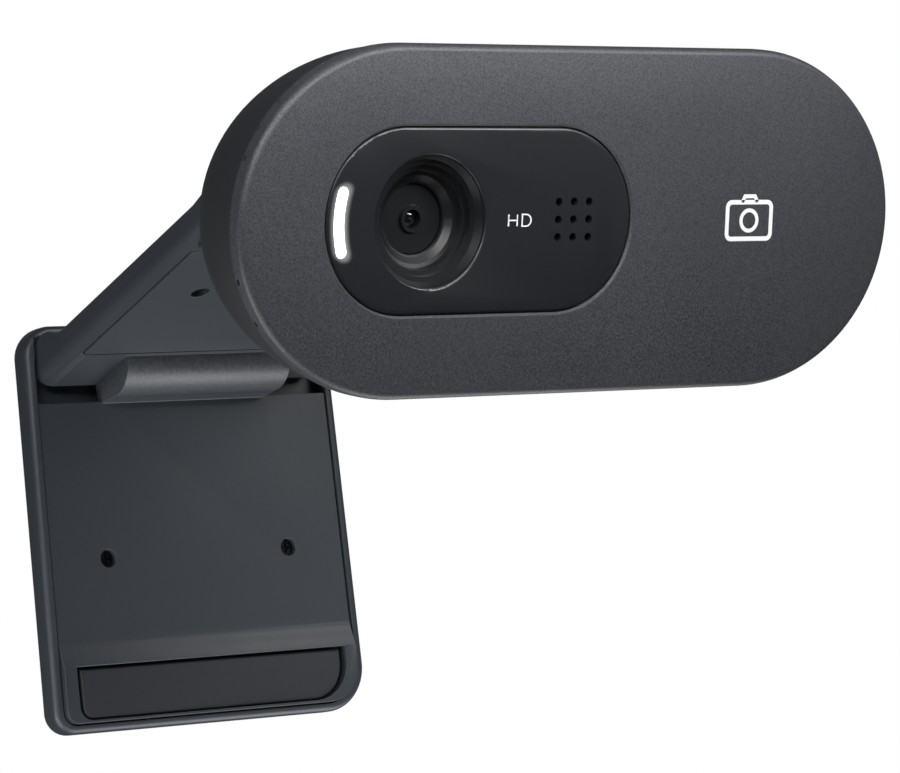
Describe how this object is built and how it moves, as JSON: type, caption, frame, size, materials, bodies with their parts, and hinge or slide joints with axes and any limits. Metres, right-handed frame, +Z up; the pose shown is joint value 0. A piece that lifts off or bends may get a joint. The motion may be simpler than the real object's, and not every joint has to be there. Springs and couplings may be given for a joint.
{
  "type": "webcam",
  "caption": "Wide pill-shaped webcam head that tilts on a folding clip: an arm rests on a monitor's top edge and a hinged leg presses on its back.",
  "frame": {"origin": "centre of the arm's underside, which rests on a monitor's top edge; the arm slopes 31.2 degrees down towards the back in the stored pose", "axes": "+X along the head's long side, -Y the way the lens looks, +Z up"},
  "size_m": [0.073, 0.0716, 0.0726],
  "materials": {
    "charcoal_face": "satin charcoal with a fine speckle",
    "black_bezel": "smooth satin black",
    "light_pipe": "white, lit",
    "black_baffle": "satin black",
    "lens_glass": "coated, polished",
    "chip_black": "matte",
    "circuit_board": "solder mask",
    "connector_white": "matte",
    "steel": "plain",
    "dark_steel": "blackened",
    "textured_shell": "fine spark texture",
    "clip_plastic": "satin dark blue-grey",
    "washer_white": "matte",
    "rubber": "matte black"
  },
  "bodies": {
    "arm": {"arm_upper_shell": "clip_plastic", "arm_lower_cover": "clip_plastic", "arm_cover_screws": "dark_steel", "front_lip_pad": "rubber", "tilt_pin": "steel", "tilt_washers": "washer_white", "hinge_pin": "steel"},
    "head": {"front_shell": "charcoal_face", "bezel": "black_bezel", "microphone_mesh": "steel", "microphone_gasket": "rubber", "microphone": "steel", "led_light_pipe": "light_pipe", "led_chips": "light_pipe", "lens_cone": "black_baffle", "lens_barrel": "black_baffle", "lens_front_glass": "lens_glass", "lens_rear_glass": "lens_glass", "lens_holder": "black_baffle", "ir_filter": "lens_glass", "image_sensor": "chip_black", "main_board": "circuit_board", "image_chip": "chip_black", "board_connector": "connector_white", "board_screws": "steel", "rear_shell": "textured_shell", "shell_screws": "steel", "cable_gland": "rubber"},
    "leg": {"leg_shell": "clip_plastic", "leg_front_panel": "clip_plastic", "hinge_spring": "steel", "leg_screws": "dark_steel", "foot_pad": "rubber"}
  },
  "joints": [
    {"name": "head_tilt", "type": "hinge", "parent": "arm", "child": "head", "pos_m": [0, -0.0304, 0.02152], "axis": [1, 0, 0], "range_deg": [-35, 10]},
    {"name": "leg_fold", "type": "hinge", "parent": "arm", "child": "leg", "pos_m": [0, 0.01269, -0.0062], "axis": [1, 0, 0], "range_deg": [-98, 70]}
  ]
}
